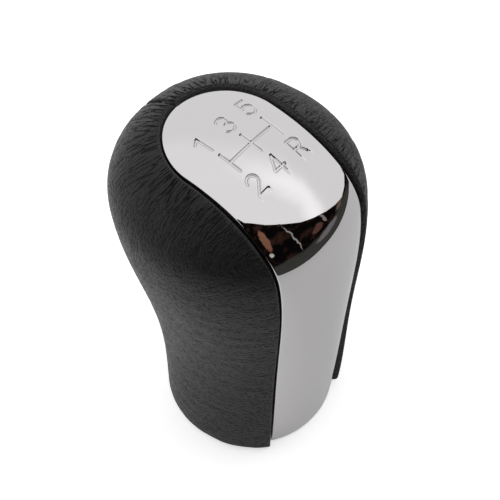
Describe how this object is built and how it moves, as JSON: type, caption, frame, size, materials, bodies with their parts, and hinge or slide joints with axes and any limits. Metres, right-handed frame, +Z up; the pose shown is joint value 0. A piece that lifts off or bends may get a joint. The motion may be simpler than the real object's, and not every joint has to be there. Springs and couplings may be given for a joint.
{
  "type": "gear shift knob",
  "caption": "Gear shift knob with a chrome-plated cover over the top and rear, leather-wrapped sides, and a threaded insert in a moulded core.",
  "frame": {"origin": "bottom centre, on the thread axis in the plane of the base cap's underside", "axes": "+Z up along the thread axis, +Y towards the front of the car, +X to the right as the driver sees it; the chrome strip faces -Y"},
  "size_m": [0.0518, 0.0516, 0.0802],
  "materials": {
    "chrome": "bright mirror plating on a plastic moulding",
    "leather": "soft black pebbled grain with fine creases at the turned edges",
    "thread": "twisted black polyester thread",
    "core_plastic": "plain moulded surface",
    "insert_brass": "turned",
    "cap_plastic": "fine matt moulded surface"
  },
  "bodies": {
    "root": {"chrome_cover": "chrome", "leather_left": "leather", "leather_right": "leather", "seam_thread": "thread", "core": "core_plastic", "threaded_insert": "insert_brass", "base_cap": "cap_plastic"}
  },
  "joints": []
}
